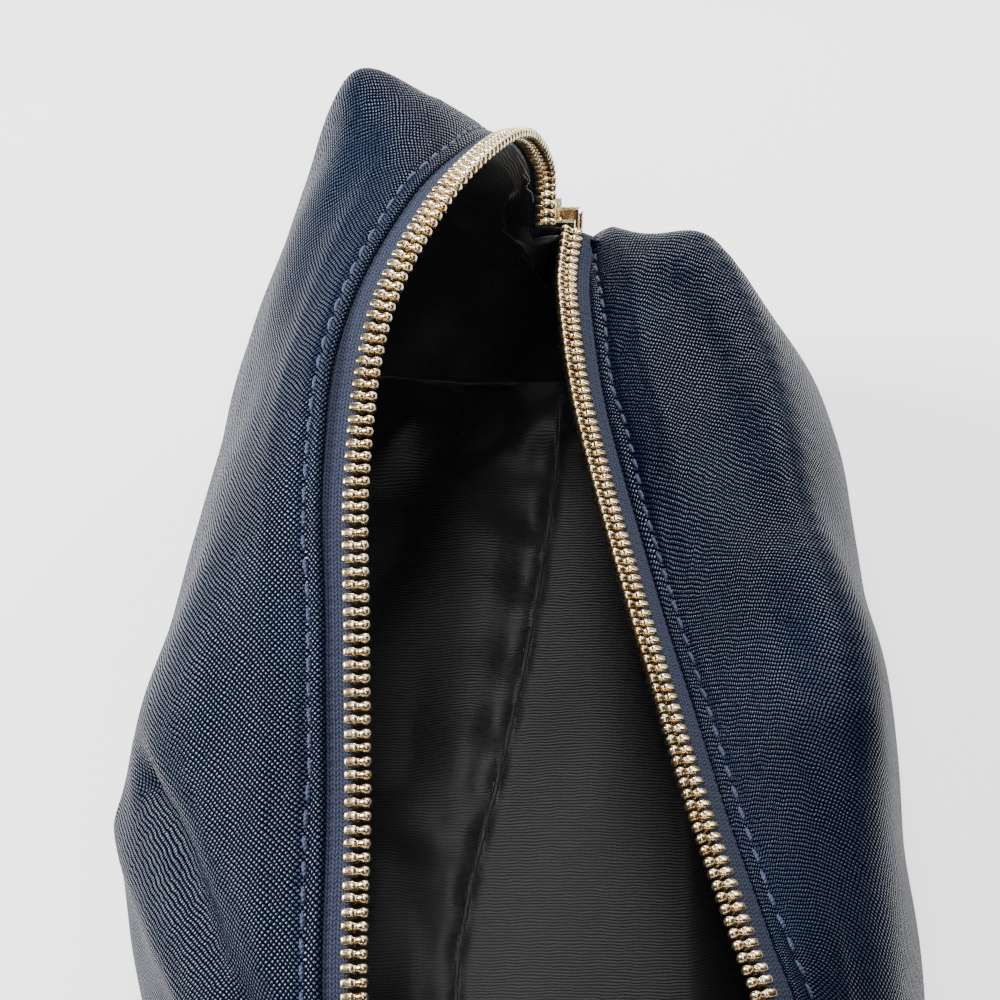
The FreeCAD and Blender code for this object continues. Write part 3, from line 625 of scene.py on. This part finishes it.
def make_panel(side_name):
    """One leather side: outer face, rolled fold at the mouth and inner face, as one skin."""
    side = SIDES[side_name][2]
    outer = leather_surface(side_name)
    normal = softened(-grid_normals(outer, side), 6)
    inner = outer - normal * FOLD_THICK
    inner[:, :, 2] = np.maximum(inner[:, :, 2], GROUND_GAP)
    for column in (0, -1):
        inner[:, column, 0] = outer[:, column, 0]
    uv = surface_uv(outer)
    roll, roll_uv = rolled_edge(outer, normal, uv)
    rows = np.concatenate([outer, roll, inner[::-1]])
    row_uv = np.concatenate([uv, roll_uv, uv[::-1] + np.array([0, ROLL_LENGTH])])
    count, columns = rows.shape[:2]
    faces = skin_faces(count, columns, flip=side > 0, turn_ends=side < 0)
    obj = new_object(f"{side_name}_leather", rows.reshape(-1, 3), faces, row_uv.reshape(-1, 2))
    dress(obj, LEATHER)
    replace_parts(obj, f"{side_name}_panel")
    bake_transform(obj)
    return obj, outer


leather = {}
outers = {}
for name in SIDES:
    leather[name], outers[name] = make_panel(name)


# ---------------------------------------------------------------- stitching beside the mouth
def thread_shape(long, radius, sink):
    """One stitch: a short rounded thread that dips into the leather at both ends."""
    sections = []
    for k in range(9):
        x = long * (k / 8 - 0.5)
        swell = radius * max(0.25, math.sqrt(max(0.0, 1 - (2 * x / long) ** 4)))
        drop = sink * (2 * x / long) ** 2
        ring = []
        for step in range(8):
            angle = 2 * math.pi * step / 8
            ring.append((x, swell * math.cos(angle), swell * math.sin(angle) - drop))
        sections.append(ring)
    return lofted(sections)


def stitch_row(name, line, normals, spacing, long, radius):
    """Stitches at an even spacing along a line of points on the leather, each a little askew."""
    length = run_length(line)
    margin = 3.0
    points, tangents = even(line, spacing, margin, margin)
    at = np.arange(margin, length[-1] - margin, spacing)
    up = unit(np.column_stack([np.interp(at, length, normals[:, k]) for k in range(3)]))
    up = unit(up - tangents * (up * tangents).sum(1, keepdims=True))
    sideways = np.cross(up, tangents)
    lean = np.radians(6 + rng.normal(0, 2.0, len(points)))[:, None]
    heading = unit(tangents * np.cos(lean) + sideways * np.sin(lean))
    template, faces = thread_shape(long, radius, radius * 1.1)
    verts, all_faces = repeated(template, faces, points + up * radius * 0.35, heading,
                                np.cross(up, heading), up)
    uv = np.tile(np.column_stack([template[:, 0], template[:, 1]]), (len(points), 1))
    obj = new_object(name, verts, all_faces, uv)
    dress(obj, THREAD)
    return obj


def make_topstitch(side_name):
    """The row of stitches in the groove of a side's hem. It follows the shape of the leather."""
    side = SIDES[side_name][2]
    outer = outers[side_name]
    normal = -grid_normals(outer, side)
    edge = rim_distance(outer)
    line, normals = [], []
    clear = int(1.3 * SPAN_STEPS)
    for j in range(clear, AROUND - clear):
        i = int(np.argmin(np.abs(edge[:, j] - STITCH_GROOVE[1])))
        line.append(outer[i, j])
        normals.append(normal[i, j])
    line = np.array(line)
    smooth = np.array([np.convolve(line[:, k], np.ones(9) / 9, "valid") for k in range(3)]).T
    normals = np.array(normals)[4:-4]
    obj = stitch_row(f"{side_name}_mouth_stitching", smooth, normals, STITCH_PITCH, 3.3, 0.36)
    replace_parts(obj, f"{side_name}_topstitch")
    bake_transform(obj)


for name in SIDES:
    make_topstitch(name)


# ---------------------------------------------------------------- zip tape and teeth
# The tape's outline across its width: (distance from the tooth heads, height).
TAPE_STEP = 0.8
TAPE_SECTION = [
    (2.75, 0.0), (2.9, 0.5), (3.3, 0.72), (3.8, 0.62), (4.2, 0.34), (5.0, 0.32), (6.0, 0.36),
    (7.4, 0.3), (8.6, 0.22), (8.6, -0.26), (7.4, -0.3), (6.0, -0.3), (5.0, -0.3), (4.2, -0.34),
    (3.8, -0.62), (3.3, -0.72), (2.9, -0.5),
]


def make_tape(side_name):
    """The tape, with the corded edge that the teeth grip, swept along the mouth."""
    side = SIDES[side_name][2]
    points, _, across, normal = mouth_frame(side_name, TAPE_STEP, to_stops=True)
    ripple = 0.12 * np.sin(np.arange(len(points)) * TAPE_STEP / TOOTH_PITCH * 2 * math.pi)
    sections = []
    for x, z in TAPE_SECTION:
        sections.append(points + across * x + normal * (z + ripple[:, None] * (4.0 < x < 8.0)))
    grid = np.array(sections)
    count, columns = grid.shape[:2]
    faces = tube_faces(count, columns, flip=side < 0, turn_ends=side > 0)
    along = np.tile(np.arange(columns) * TAPE_STEP, (count, 1))
    width = np.array([x if z >= 0 else x + 20 for x, z in TAPE_SECTION])[:, None] + 0 * along
    uv = np.stack([along, width], axis=-1)
    obj = new_object(f"{side_name}_zip_tape", grid.reshape(-1, 3), faces, uv.reshape(-1, 2))
    dress(obj, TAPE)
    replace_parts(obj, f"{side_name}_tape")
    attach(obj, f"{side_name}_rim")
    return obj


# Sections along a tooth, from its head: (distance, half width, half height, squareness).
TOOTH_SECTIONS = [
    (-0.15, 0.25, 0.3, 1.0), (-0.05, 0.55, 0.65, 1.0), (0.2, 0.8, 0.95, 1.0), (0.6, 0.9, 1.1, 1.0),
    (1.0, 0.86, 1.05, 1.0), (1.3, 0.68, 0.9, 0.9), (1.55, 0.56, 0.8, 0.7), (2.0, 0.56, 0.8, 0.6),
    (2.15, 0.7, 1.1, 0.5), (2.35, 0.78, 1.25, 0.4), (3.9, 0.78, 1.25, 0.4), (4.15, 0.62, 1.1, 0.5),
]


def tooth_shape():
    """One metal tooth: a domed head, a neck, and the two jaws that grip the tape's cord."""
    sections = []
    for x, wide, high, square in TOOTH_SECTIONS:
        ring = []
        for step in range(12):
            angle = 2 * math.pi * (step + 0.5) / 12
            c, s = math.cos(angle), math.sin(angle)
            ring.append((x, math.copysign(abs(c) ** square, c) * wide,
                         math.copysign(abs(s) ** square, s) * high))
        sections.append(ring)
    return lofted(sections)


def make_teeth(side_name):
    """One side's row of metal teeth, half a pitch out of step with the other side's."""
    side = SIDES[side_name][2]
    start = TOOTH_PITCH * (0.5 if side > 0 else 0.0)
    points, tangents, across, normal = mouth_frame(side_name, TOOTH_PITCH, start, TOOTH_PITCH * 1.6)
    template, faces = tooth_shape()
    turn = rng.normal(0, 0.025, len(points))[:, None]
    heading = unit(across + tangents * turn)
    along = unit(np.cross(normal, heading))
    verts, all_faces = repeated(template, faces, points, heading, along, normal)
    obj = new_object(f"{side_name}_zip_teeth", verts, all_faces)
    bevel = obj.modifiers.new("round", "SUBSURF")
    bevel.levels = bevel.render_levels = 1
    dress(obj, GOLD)
    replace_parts(obj, f"{side_name}_teeth")
    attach(obj, f"{side_name}_rim")
    return obj


for name in SIDES:
    make_tape(name)
    make_teeth(name)


# ---------------------------------------------------------------- lining
LINING_DEPTH = 2.9
LINING_THICK = 0.5


def tape_shade_facing(side_name, rim):
    """The lining's turned edge, which covers the inside of the tape up to the teeth: a dark sheet put
    there as painted shade on the tape's inner face.
    """
    _, mouth, side, slope = SIDES[side_name]
    heads = eased(placed(mouth), (SPANS - 2) * SPAN_STEPS)
    tangents = unit(np.gradient(heads, axis=0))
    across = outward(tangents, side, slope)
    inside = np.cross(across, tangents) * side
    rows = []
    for reach, depth in ((6.6, 1.5), (5.6, 1.15), (4.7, 1.05)):
        edge = heads + across * reach + inside * depth
        row = rim.copy()
        row[SPAN_STEPS:-SPAN_STEPS] = edge
        fade = (np.arange(SPAN_STEPS) / SPAN_STEPS)[:, None]
        row[:SPAN_STEPS] += (edge[0] - rim[SPAN_STEPS]) * fade
        row[-SPAN_STEPS:] += (edge[-1] - rim[-SPAN_STEPS - 1]) * fade[::-1]
        rows.append(row)
    return np.array(rows)


def make_wall_lining(side_name):
    """The lining of one side, hung from the mouth, loose at its foot, with soft creases."""
    side = SIDES[side_name][2]
    grid = panel_grid(side_name, LINING_TOP)
    inward = grid_normals(grid, side)
    edge = rim_distance(grid)
    height = grid[:, :, 2]
    slack = 9.0 * np.clip(1 - height / 40, 0, 1) ** 1.6
    ends = np.clip((np.abs(grid[:, :, 1]) - 0.72 * HALF_LENGTH) / 20, 0, 1)
    slack *= 1 - 0.75 * ends
    crease = waves(grid, 23 if side < 0 else 25, 30, 1.5) + waves(grid, 33 if side < 0 else 35, 13, 0.5)
    crease *= np.clip(edge / 22, 0, 1)
    depth = LINING_DEPTH + slack + np.maximum(crease, -1.2) + 1.2 * np.clip(edge / 22, 0, 1)
    depth += np.maximum(-fold_lift(grid, side), 0)
    wall = grid + inward * depth[:, :, None]
    first = int(UP * 0.06)
    # The lining carried over the inside of the tape is painted shade: a dark sheet where the tape's
    # inner face lies in shade.
    wall = np.concatenate([wall[first:], tape_shade_facing(side_name, wall[-1])])
    wall[:, :, 2] = np.maximum(wall[:, :, 2], 5.0)
    for column in (0, -1):
        wall[:, column, 0] = ZIP_X - side * LINING_THICK
    return skin_object(f"{side_name}_wall_lining", wall, -grid_normals(wall, side), side), wall


def skin_object(name, grid, outward_normal, side):
    """A thin closed skin behind a grid of points."""
    back = grid + outward_normal * LINING_THICK
    rows = np.concatenate([grid, back[::-1]])
    uv = surface_uv(grid)
    count, columns = rows.shape[:2]
    rows_uv = np.concatenate([uv, uv[::-1]])
    faces = skin_faces(count, columns, flip=side < 0, turn_ends=side < 0)
    return lining_object(name, rows, faces, rows_uv)


def lining_object(name, rows, faces, uv):
    """A piece of black lining from rows of points."""
    obj = new_object(name, rows.reshape(-1, 3), faces, uv.reshape(-1, 2))
    dress(obj, SATIN)
    return obj


linings = {}
walls = {}
for name in SIDES:
    linings[name], walls[name] = make_wall_lining(name)
    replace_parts(linings[name], f"{name}_lining")
    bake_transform(linings[name])


FLOOR_LEVEL, FLOOR_LEAST = 6.2, 4.6


def seam_x(y):
    """Where the floor's seam runs, at each distance along the bag."""
    route = np.array(FLOOR_SEAM, float)
    fine = eased(route, 80)[::-1]
    return np.interp(y, fine[:, 1], fine[:, 0])


def floor_height(x, y):
    """Height of the floor lining: nearly flat, puckered at its seam, rising at its right."""
    from_seam = x - seam_x(y)
    pucker = 0.5 + 0.5 * np.sin(y * 2 * math.pi / 13 + 1.7 * np.sin(y / 17.0))
    ridge = (0.5 + 0.5 * pucker) * np.exp(-(from_seam / 1.1) ** 2)
    valley = -(0.3 + 0.5 * pucker) * np.exp(-((from_seam + 3.6) / 2.2) ** 2)
    left = np.clip(-from_seam / 9, 0, 1)
    gather = 0.7 * np.sin(y * 2 * math.pi / 15 + 0.16 * x + np.sin(y / 11.0))
    gather *= np.exp(-np.abs(from_seam) / 9)
    drape = 1.5 * left * np.sin(x / 5.5 + y / 19.0 + 1.1 * np.sin(y / 14.0))
    cross = 0.8 * left * np.sin(y / 8.0 - x / 9.0 + np.sin(x / 7.0))
    right = np.clip((x - 33) / 16, 0, 1)
    rise = 9.0 * right * right * (3 - 2 * right)
    swell = 1.8 * np.exp(-((from_seam - 17) / 12) ** 2) * (0.6 + 0.4 * np.sin(y / 12.0))
    near_far_wall = np.exp(-((y - 90) / 9) ** 2)
    bunch = 2.4 * near_far_wall * np.sin(x / 3.8 + 0.9 * np.sin(y / 4.0)) + 1.2 * near_far_wall
    folds = ridge + valley + gather * (from_seam < 0) + drape + cross
    return FLOOR_LEVEL + folds + rise + swell + bunch


def make_floor():
    """The floor lining, stretched between the feet of the two wall linings."""
    left_foot, right_foot = walls["left"][0], walls["right"][0]
    share = np.linspace(0, 1, 150)[:, None, None]
    grid = left_foot[None] * (1 - share) + right_foot[None] * share
    height = floor_height(grid[:, :, 0], grid[:, :, 1])
    span = np.linalg.norm(right_foot - left_foot, axis=1)[None, :]
    fade = np.minimum(share, 1 - share)[:, :, 0] * span
    edge = np.clip(fade / 6.0, 0, 1)
    grid[:, :, 2] = np.maximum(grid[:, :, 2] * (1 - edge) + height * edge, FLOOR_LEAST)
    back = grid.copy()
    back[:, :, 2] -= LINING_THICK
    rows = np.concatenate([grid, back[::-1]])
    count, columns = rows.shape[:2]
    uv = np.concatenate([grid, grid[::-1]])[:, :, :2]
    faces = skin_faces(count, columns, flip=False, turn_ends=True)
    obj = lining_object("floor_cloth", rows, faces, uv)
    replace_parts(obj, "floor_lining")
    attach(obj, "bag")
    return obj


make_floor()


GUSSET_FOOT, GUSSET_HIGH, GUSSET_HALF_WIDE = 35, 13.7, 6.0
GUSSET_MIDDLE, GUSSET_PLACE = ZIP_X - 2.0, 109.0


def make_end_gusset():
    """A small piece of lining that closes the far end just inside the slider."""
    across = np.linspace(-1, 1, 25)
    rows = []
    for share in np.linspace(0, 1, 12):
        z = GUSSET_FOOT + GUSSET_HIGH * share - 0.8 * share * across ** 2
        y = GUSSET_PLACE + 0.6 * share - 0.7 * across ** 2 + 0.1 * np.sin(7 * across + 3 * share)
        rows.append(np.column_stack([GUSSET_MIDDLE + GUSSET_HALF_WIDE * across, y, z]))
    grid = np.array(rows)
    gusset = skin_object("far_end_gusset", grid, np.array([0.0, 1.0, 0.0]), -1)
    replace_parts(gusset, "left_lining")
    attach(gusset, "bag")


make_end_gusset()


def welt(name, line, radius, spacing=1.1, flat=0.7):
    """A sewn seam allowance: a lumpy rounded ridge along a line of points."""
    points, tangents = even(line, spacing)
    up = np.array([0.0, 0.0, 1.0])
    sideways = unit(np.cross(tangents, up))
    top = np.cross(sideways, tangents)
    swell = 1 + 0.16 * np.sin(np.arange(len(points)) * 2.1) + rng.normal(0, 0.05, len(points))
    rings = []
    for k in range(10):
        angle = 2 * math.pi * k / 10
        rings.append(points + sideways * (radius * math.cos(angle) * swell)[:, None]
                     + top * (radius * flat * math.sin(angle) * swell)[:, None])
    grid = np.array(rings)
    count, columns = grid.shape[:2]
    uv = np.stack([np.tile(np.arange(columns) * spacing, (count, 1)),
                   np.tile(np.arange(count)[:, None] * 0.5, (1, columns))], axis=-1)
    obj = lining_object(name, grid, tube_faces(count, columns), uv)
    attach(obj, "bag")
    return obj


def make_floor_seams():
    """The seam along the floor, and the one where the floor meets the wall linings."""
    y = np.linspace(96, -96, 200)
    x = seam_x(y)
    line = np.column_stack([x, y, floor_height(x, y) - 0.15])
    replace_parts(welt("floor_seam_ridge", line, 0.55), "floor_seam")
    ring = np.concatenate([walls["left"][0], walls["right"][0][::-1]]) + np.array([0, 0, 0.3])
    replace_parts(welt("floor_edge_seam", ring[2:-2], 0.6), "floor_seam")


make_floor_seams()


def thread_end(name, points, radius):
    """A loose end of sewing thread, as a thin bent tube."""
    line = eased(np.array(points, float), 40)
    tangents = unit(np.gradient(line, axis=0))
    sideways = unit(np.cross(tangents, np.array([0.3, 1.0, 0.2])))
    top = np.cross(sideways, tangents)
    rings = []
    for k in range(6):
        angle = 2 * math.pi * k / 6
        rings.append(line + (sideways * math.cos(angle) + top * math.sin(angle)) * radius)
    grid = np.array(rings)
    uv = np.tile(np.column_stack([run_length(line), 0 * line[:, 0]]), (6, 1))
    obj = new_object(name, grid.reshape(-1, 3), tube_faces(6, len(line)), uv)
    dress(obj, LOOSE_THREAD)
    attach(obj, "left_rim")


THREAD_ENDS = [
    [(2.6, 107.6, 77), (3.6, 107.4, 74), (4.6, 107.4, 71), (4.3, 107.3, 69.5), (5.1, 107.2, 68)],
    [(4.4, 107.2, 71.5), (5.4, 107.0, 68.5), (4.9, 106.9, 66), (5.9, 107.0, 64), (6.2, 107.0, 61)],
]
for number, points in enumerate(THREAD_ENDS, start=1):
    thread_end(f"thread_end_{number}", points, 0.16)

# ---------------------------------------------------------------- metal parts and the pull
STOPS = ("bottom_stop", "left_top_stop", "right_top_stop")
for node in ("slider_body", "slider_bridge", "pull_link", *STOPS):
    dress(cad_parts[node], GOLD)
dress(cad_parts["base_panel"], BASE_LEATHER)
dress(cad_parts["base_board"], BOARD)


def make_pull():
    """The leather pull: a single strap hanging from the link's bar, rounded at its top, tapering out to
    a round end.
    """
    low, high = (np.array(corner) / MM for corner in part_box("leather_pull"))
    middle = (low[0] + high[0]) / 2
    depth = (low[1] + high[1]) / 2
    top = high[2]
    long = top - low[2]
    sections = []
    for k in range(33):
        t = k / 32
        z = top - 0.05 - (long - 0.1) * t
        wide = 2.3 + 1.2 * min(1, t / 0.22) ** 1.5
        tip = max(0.0, (t - 0.87) / 0.13)
        wide *= math.sqrt(max(0.03, 1 - tip ** 2.4))
        thick = 1.5 - 0.35 * min(1, t / 0.25)
        if t < 0.1:
            thick *= math.sqrt(max(0.06, 1 - (1 - t / 0.1) ** 2))
        thick *= math.sqrt(max(0.12, 1 - tip ** 4))
        bow = 0.45 * math.sin(math.pi * t)
        ring = []
        for step in range(20):
            angle = 2 * math.pi * step / 20
            c, s = math.cos(angle), math.sin(angle)
            ring.append((middle + math.copysign(abs(c) ** 0.45, c) * wide,
                         depth + bow + math.copysign(abs(s) ** 0.6, s) * thick, z))
        sections.append(ring)
    verts, faces = lofted(sections)
    obj = new_object("leather_zip_pull", verts, faces)
    dress(obj, DARK_LEATHER)
    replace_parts(obj, "leather_pull")
    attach(obj, "pull")


make_pull()
dress(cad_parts["pull_stitch"], PULL_THREAD)


# ---------------------------------------------------------------- floor, light and camera
def aim_at(obj, direction):
    """Turn a lamp or camera to look along a direction."""
    obj.rotation_euler = Vector(direction).to_track_quat("-Z", "Y").to_euler()


def area_light(name, place, size, power):
    """A soft rectangular lamp aimed at the bag."""
    lamp = bpy.data.lights.new(name, "AREA")
    lamp.shape = "RECTANGLE"
    lamp.size, lamp.size_y = size
    lamp.energy = power
    obj = bpy.data.objects.new(name, lamp)
    obj.location = place
    aim_at(obj, np.array(LIGHT_TARGET) - np.array(place))
    bpy.context.scene.collection.objects.link(obj)


# Metres and watts. Each lamp is (name, place, size, power).
LIGHT_TARGET = (0.0, 0.0, 0.08)
LIGHTS = [
    ("key_left", (-0.97, 0.22, 0.56), (0.3, 0.3), 26),
    ("back", (0.05, 1.05, 0.58), (0.3, 0.25), 12),
    ("key_right", (0.6, 0.66, 0.7), (0.3, 0.3), 5),
    ("top", (-0.10, 0.10, 1.3), (0.3, 0.3), 11),
    ("front_soft", (0.2, -0.9, 1.2), (0.4, 0.4), 4),
]
WORLD_STRENGTH = 0.04
FLOOR_HALF = 0.9
# The floor glows a little close to the bag, and not at all past the second distance.
GLOW_FROM, GLOW_TO = 0.20, 0.36


def floor_material():
    """A pale matt floor, evened out round the bag."""
    made, shader = material("pale_floor", (0.92, 0.92, 0.92), 0.9)
    n = Nodes(made)
    where = n.coordinates()
    n.link(n.ramp(n.noise(where, 3.0), [(0.2, (0.91, 0.91, 0.91)), (0.8, (0.93, 0.93, 0.93))]),
           shader.inputs["Base Color"])
    away = n.add("ShaderNodeVectorMath", operation="LENGTH")
    n.link(where, away.inputs[0])
    n.link(n.spread(away.outputs["Value"], GLOW_FROM, GLOW_TO, 1.0, 0.0),
           shader.inputs["Emission Strength"])
    shader.inputs["Emission Color"].default_value = (1, 1, 1, 1)
    return made


def make_stage():
    """The floor, the dim white surroundings and the lamps."""
    mesh = bpy.data.meshes.new("studio_floor")
    corners = [(-FLOOR_HALF, -FLOOR_HALF, 0), (FLOOR_HALF, -FLOOR_HALF, 0),
               (FLOOR_HALF, FLOOR_HALF, 0), (-FLOOR_HALF, FLOOR_HALF, 0)]
    mesh.from_pydata(corners, [], [(0, 1, 2, 3)])
    floor = bpy.data.objects.new("studio_floor", mesh)
    bpy.context.scene.collection.objects.link(floor)
    floor.data.materials.append(floor_material())
    world = bpy.data.worlds.new("studio")
    world.use_nodes = True
    background = world.node_tree.nodes["Background"]
    background.inputs[0].default_value = (1, 1, 1, 1)
    background.inputs[1].default_value = WORLD_STRENGTH
    bpy.context.scene.world = world
    for lamp in LIGHTS:
        area_light(*lamp)


# The camera looks along +Y and down, from the front of the bag.
CAMERA_ELEVATION, CAMERA_DISTANCE, FOCAL_MM = 60.0, 0.620, 133.8
CAMERA_TARGET = (0.0, 0.020, 0.100)


def make_camera():
    """A camera at the angle from which the bag is shown."""
    lens = bpy.data.cameras.new("photo_view")
    lens.lens = FOCAL_MM
    lens.sensor_width = 36.0
    lens.clip_start = 0.01
    lens.dof.use_dof = False
    camera = bpy.data.objects.new("photo_view", lens)
    up = math.radians(CAMERA_ELEVATION)
    direction = np.array([0, math.cos(up), -math.sin(up)])
    camera.location = np.array(CAMERA_TARGET) - direction * CAMERA_DISTANCE
    aim_at(camera, direction)
    bpy.context.scene.collection.objects.link(camera)
    bpy.context.scene.camera = camera


make_stage()
make_camera()
